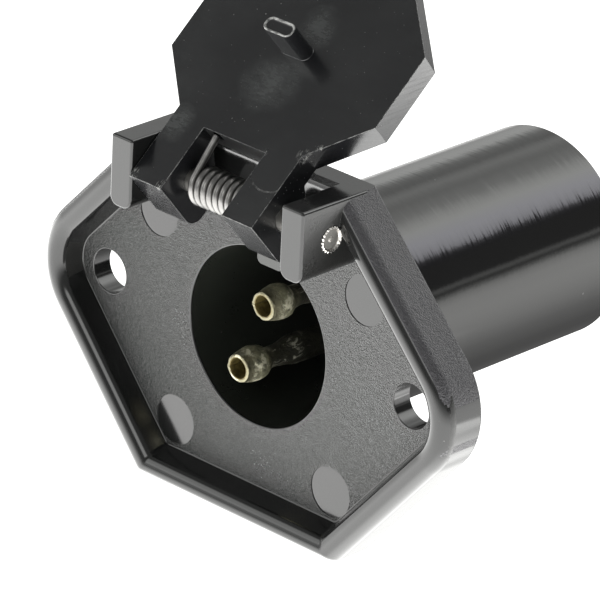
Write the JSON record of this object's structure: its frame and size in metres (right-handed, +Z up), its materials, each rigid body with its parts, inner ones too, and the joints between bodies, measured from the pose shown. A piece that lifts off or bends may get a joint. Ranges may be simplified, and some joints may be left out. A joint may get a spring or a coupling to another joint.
{
  "type": "trailer wiring socket",
  "caption": "Two-pole trailer wiring socket: elongated hexagonal flange with a round barrel and a sprung octagonal lid standing open.",
  "frame": {"origin": "centre of the contact carrier's front face, on the barrel axis, where an inserted plug bottoms", "axes": "+X right seen from the front, +Y back along the barrel, +Z up towards the hinge"},
  "size_m": [0.0724, 0.0687, 0.0727],
  "materials": {
    "housing_plastic": "semi-gloss black moulding",
    "lid_plastic": "glossy black moulding",
    "carrier_plastic": "matt",
    "grommet_rubber": "matt",
    "contact_brass": "dull, drawn",
    "spring_steel": "satin drawn wire",
    "zinc_steel": "zinc plated"
  },
  "bodies": {
    "housing": {"housing": "housing_plastic", "hinge_pin": "zinc_steel", "lid_spring": "spring_steel", "contact_carrier": "carrier_plastic", "carrier_back_plate": "carrier_plastic", "carrier_screw": "zinc_steel", "carrier_lock_screw": "zinc_steel", "contact_pin_upper": "contact_brass", "contact_pin_lower": "contact_brass", "rear_grommet": "grommet_rubber"},
    "lid": {"lid": "lid_plastic"},
    "terminal_screw_upper": {"terminal_screw_upper": "zinc_steel"},
    "terminal_screw_lower": {"terminal_screw_lower": "zinc_steel"}
  },
  "joints": [
    {"name": "lid_hinge", "type": "hinge", "parent": "housing", "child": "lid", "pos_m": [0, -0.02706, 0.02054], "axis": [1, 0, 0], "range_deg": [0, 229], "deforming": ["lid_spring"]},
    {"name": "terminal_screw_upper_travel", "type": "slide", "parent": "housing", "child": "terminal_screw_upper", "axis": [0.3666, 0, 0.9304], "range_m": [0, 0.0012]},
    {"name": "terminal_screw_lower_travel", "type": "slide", "parent": "housing", "child": "terminal_screw_lower", "axis": [-0.3666, 0, -0.9304], "range_m": [0, 0.0012]}
  ]
}
